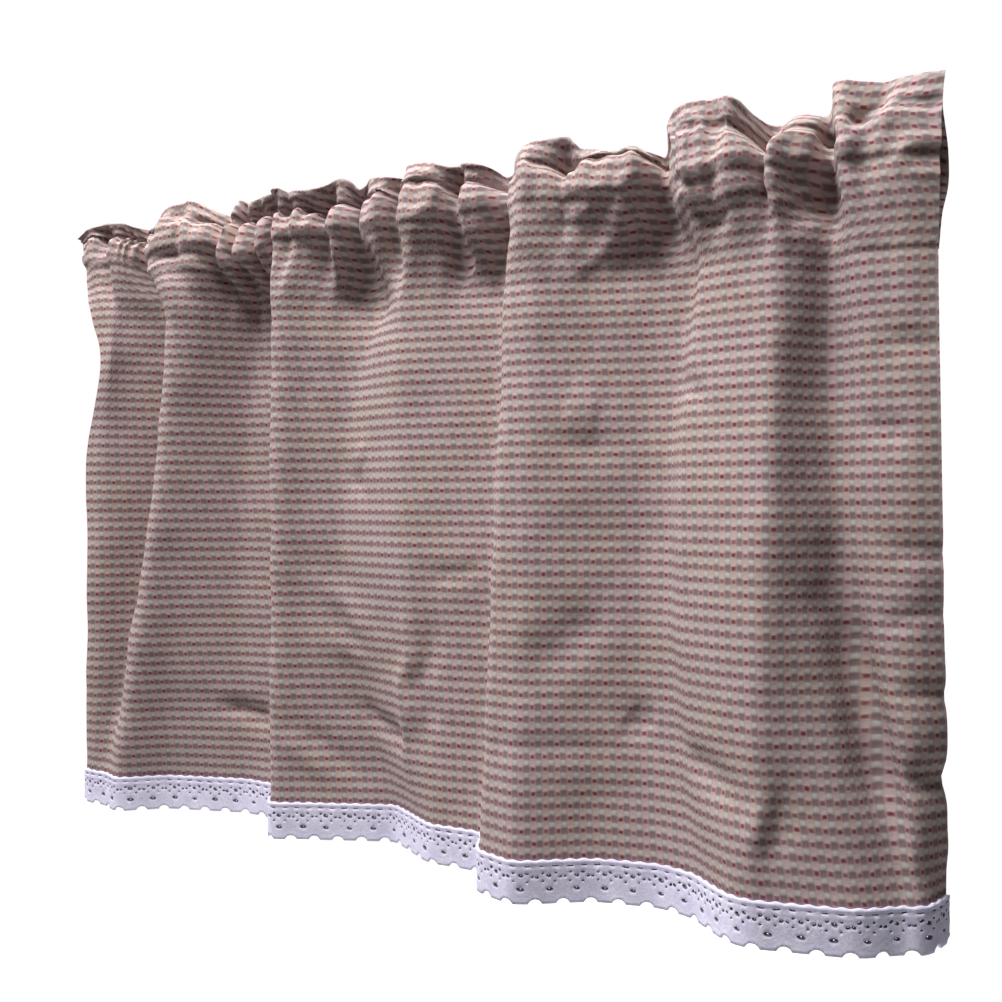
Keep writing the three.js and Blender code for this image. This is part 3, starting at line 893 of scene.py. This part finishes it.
# One repeat of the lace, flat: points, faces, and for each point the middle of the gap that it rims
def laceRepeat(chance):
    width = cloth["flatWidth"] / lace["repeats"]
    shares = np.linspace(0, 1, lace["edgeSteps"] + 1)
    top = [(share * width, lace["topWave"] * math.cos(4 * math.pi * share)) for share in shares]
    foot = [(share * width, float(laceFootAt(share * width, width))) for share in shares]
    sides = [between(top[0][1], foot[0][1], share) for share in shares[1:-1]]
    outline = top + [(width, down) for down in sides] + foot[::-1] + [(0, down) for down in sides[::-1]]
    points = [Vector(point) for point in outline]
    centres = [None] * len(points)
    loops = [list(range(len(points)))]
    gaps = []
    for name, share, down, halfWidth, halfHeight, slant in laceGaps:
        size = chance.uniform(*lace["gapSizes"])
        shifts = [chance.uniform(-shift, shift) for shift in lace["gapShift"]]
        middle = Vector((share * width + shifts[0], down + shifts[1]))
        tilt = math.radians(slant + chance.uniform(-lace["gapTilt"], lace["gapTilt"]))
        gaps.append((middle, max(halfWidth, halfHeight) * size))
        first = len(points)
        for step in range(lace["rimSteps"]):
            angle = 2 * math.pi * step / lace["rimSteps"]
            x, y = math.cos(angle) * halfWidth * size, math.sin(angle) * halfHeight * size
            points.append(middle + Vector((x * math.cos(tilt) - y * math.sin(tilt),
                                           x * math.sin(tilt) + y * math.cos(tilt))))
            centres.append(middle)
        loops.append(list(range(first, len(points))))
    edge = lace["edgeGap"]
    for column in range(1, int(width / lace["step"])):
        for row in range(1, int(lace["depth"] / lace["step"])):
            spot = Vector((column * lace["step"] + (row % 2) * lace["step"] / 2, row * lace["step"]))
            if spot.x > width - edge or spot.y > laceFootAt(spot.x, width) - edge:
                continue
            if all((spot - middle).length > reach + lace["gapEdge"] for middle, reach in gaps):
                points.append(spot)
                centres.append(None)
    edges = [(start, end) for loop in loops for start, end in zip(loop, loop[1:] + loop[:1])]
    found = delaunay_2d_cdt(points, edges, [], 1, 1e-5)
    flatPoints, faces, source = found[0], found[2], found[3]
    rims = [next((centres[index] for index in origins if centres[index]), None) for origins in source]

    def inGap(face):
        middles = {tuple(rims[index]) if rims[index] else None for index in face}
        return len(middles) == 1 and None not in middles

    return flatPoints, [face for face in faces if not inGap(face)], rims


def laceRelief(across, down, width):
    raised = sum(height * math.exp(-((down - place) / half) ** 2) for name, place, height, half in topCords)
    threads = math.cos(2 * math.pi * lace["fanThreads"] * across / width)
    raised += lace["fanHeight"] * threads * math.exp(-((down - lace["fanDown"]) / lace["fanReach"]) ** 2)
    name, above, height, half = footCord
    return raised + height * math.exp(-((down - float(laceFootAt(across, width)) + above) / half) ** 2)


def buildLace(hem, facing, materials):
    width = cloth["flatWidth"] / lace["repeats"]
    chance = random.Random(11)
    across = np.linspace(0, cloth["flatWidth"], hem.shape[1])
    valueAt = lambda at, values: float(np.interp(at, across, values))
    points, faces, slots = [], [], []
    known = {}

    def addPoint(key, at, down, out):
        if key not in known:
            known[key] = len(points)
            reach = out + lace["clothGap"]
            x = valueAt(at, hem[0]) + valueAt(at, facing[0]) * reach
            y = valueAt(at, hem[1]) + valueAt(at, facing[1]) * reach
            points.append((x * metre, -y * metre, (hemUp - down) * metre))
        return known[key]

    onLeft = lambda spot: spot.x < 1e-4
    onRight = lambda spot: spot.x > width - 1e-4
    for repeat in range(lace["repeats"]):
        flat, flatFaces, rims = laceRepeat(chance)
        start = repeat * width
        fronts, backs = [], []
        for index, spot in enumerate(flat):
            at = start + spot.x
            # Points on a side are shared with the next repeat
            shared = onLeft(spot) or onRight(spot)
            label = ("side", round(at, 2), round(spot.y, 2)) if shared else (repeat, index)
            raised = laceRelief(spot.x, spot.y, width)
            fronts.append(addPoint((label, "front"), at, spot.y, lace["thickness"] + raised))
            rim = rims[index]
            shrunk = rim + (spot - rim) * lace["backShare"] if rim else spot
            backs.append(addPoint((label, "back"), start + shrunk.x, shrunk.y, 0))
        edges = set()
        for face in flatFaces:
            corners = [flat[index] for index in face]
            turn = (corners[1] - corners[0]).cross(corners[2] - corners[0])
            order = list(face) if turn < 0 else list(face)[::-1]
            faces.append(tuple(fronts[index] for index in order))
            faces.append(tuple(backs[index] for index in order[::-1]))
            slots.extend((0, 0))
            edges.update(zip(order, order[1:] + order[:1]))
        for low, high in sorted(edges):
            ends = (flat[low], flat[high])
            joined = repeat > 0 and all(map(onLeft, ends))
            joined = joined or repeat < lace["repeats"] - 1 and all(map(onRight, ends))
            if (high, low) in edges or joined:
                continue
            faces.append((fronts[high], fronts[low], backs[low], backs[high]))
            # Walls that rim a gap take the painted shade material
            slots.append(1 if rims[low] and rims[high] else 0)
    piece = newPiece("lace-edging", points, faces, materials)
    piece.data.polygons.foreach_set("material_index", slots)
    return piece


# Cotton cluny lace, bobbin-made and bleached: chalky white with a cool cast
cottonLace = {
    "light": "#ece7f9",
    "shade": "#d4cee8",
    # painted shade: the dark colour of the gaps' walls, standing in for their shadow
    "depth": "#6f697c",
    "threadsInMetre": 900,  # drawn 1.1 mm apart, coarser than the real ones, so that they show
    "patchesInMetre": 120,
    "threadHeight": 0.3,
    "surface": {"Roughness": 0.9, "Specular IOR Level": 0.2},
}


def cottonLaceMaterials():
    look = cottonLace
    material, shader = newMaterial("cotton cluny lace, bobbin-made")
    tree = material.node_tree
    place = addNode(tree, "TexCoord", output="Object")
    threads = addNode(tree, "TexNoise", {"Vector": place, "Scale": look["threadsInMetre"], "Detail": 3})
    patches = addNode(tree, "TexNoise", {"Vector": place, "Scale": look["patchesInMetre"], "Detail": 2})
    share = addNode(tree, "Math", {0: threads, 1: patches}, operation="MULTIPLY")
    spread = addNode(tree, "MapRange", {"Value": share, "From Min": 0.1, "From Max": 0.4})
    ends = {"Factor": spread, 6: linearColor(look["shade"]), 7: linearColor(look["light"])}
    color = addNode(tree, "Mix", ends, 2, data_type="RGBA")
    tree.links.new(color, shader.inputs["Base Color"])
    for socket, value in look["surface"].items():
        shader.inputs[socket].default_value = value
    relief = {"Height": threads, "Strength": 0.6, "Distance": look["threadHeight"] * metre}
    tree.links.new(addNode(tree, "Bump", relief), shader.inputs["Normal"])
    # Painted shade on the inside of the gaps: a dark colour on their walls stands in for the shadow there
    gapShade, gapShadeShader = newMaterial("cotton cluny lace, painted shade inside its gaps")
    gapShadeShader.inputs["Base Color"].default_value = linearColor(look["depth"])
    gapShadeShader.inputs["Roughness"].default_value = look["surface"]["Roughness"]
    return [material, gapShade]


lacePiece = buildLace(clothFront[0], facingOf(clothFront[:3])[0], cottonLaceMaterials())
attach(lacePiece, "root")
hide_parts("lace_trim")
print("lace sewn on:", len(lacePiece.data.polygons), "faces")


# Plain pale studio and soft light from the upper left

stage = {
    "floorUp": -720,
    "floorAlong": (-1600, 600),
    "floorFront": 300,
    "floorBehind": 900,
    "roomReach": 6000,  # half the size of the pale room all round
    "color": "#f6f6f6",
}


def addFloor():
    sides, ends = stage["floorAlong"], (-stage["floorFront"], stage["floorBehind"])
    corners = [(sides[0], ends[0]), (sides[1], ends[0]), (sides[1], ends[1]), (sides[0], ends[1])]
    points = [Vector((x, y, stage["floorUp"])) * metre for x, y in corners]
    material, shader = newMaterial("studio paper, pale")
    shader.inputs["Base Color"].default_value = linearColor(stage["color"])
    shader.inputs["Roughness"].default_value = 1
    newPiece("floor", points, [(0, 1, 2, 3)], [material])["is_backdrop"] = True


# A pale room that shows behind the curtain from every side and throws no light on it
def addRoom():
    reach = stage["roomReach"] * metre
    plan = ((-1, -1), (1, -1), (1, 1), (-1, 1))
    points = [Vector((x, y, z)) * reach for z in (-1, 1) for x, y in plan]
    walls = [(side, side + 4, (side + 1) % 4 + 4, (side + 1) % 4) for side in range(4)]
    material, shader = newMaterial("studio wall, pale and evenly lit")
    shader.inputs["Base Color"].default_value = linearColor("#000000")
    shader.inputs["Emission Color"].default_value = linearColor("#ffffff")
    shader.inputs["Emission Strength"].default_value = 1
    room = newPiece("room", points, walls + [(0, 1, 2, 3), (7, 6, 5, 4)], [material])
    for ray in ("diffuse", "glossy", "transmission", "volume_scatter", "shadow"):
        setattr(room, "visible_" + ray, False)
    room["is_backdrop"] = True


lights = {
    "key": {"place": (-380, -1000, 1640), "aim": (0, 0, -180), "size": 565, "power": 46.5},
    "overhead": {"place": (-700, 250, 1300), "aim": (-900, 900, -200), "size": 2200, "power": 70},
}
skyStrength = 0.1


def addLights():
    for name, light in lights.items():
        data = bpy.data.lights.new(name, "AREA")
        data.size = light["size"] * metre
        data.energy = light["power"]
        lamp = bpy.data.objects.new(name, data)
        lamp.location = Vector(light["place"]) * metre
        toward = Vector(light["aim"]) - Vector(light["place"])
        lamp.rotation_euler = toward.to_track_quat("-Z", "Y").to_euler()
        bpy.context.collection.objects.link(lamp)
    world = bpy.data.worlds.new("studio")
    world.use_nodes = True
    sky = world.node_tree.nodes["Background"]
    sky.inputs["Color"].default_value = linearColor("#ffffff")
    sky.inputs["Strength"].default_value = skyStrength
    bpy.context.scene.world = world
    bpy.context.scene.view_settings.view_transform = "Standard"


addFloor()
addRoom()
addLights()
print("stage lit")

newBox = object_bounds()
{"cad": [list(corner) for corner in cadBox], "visual": [list(corner) for corner in newBox]}
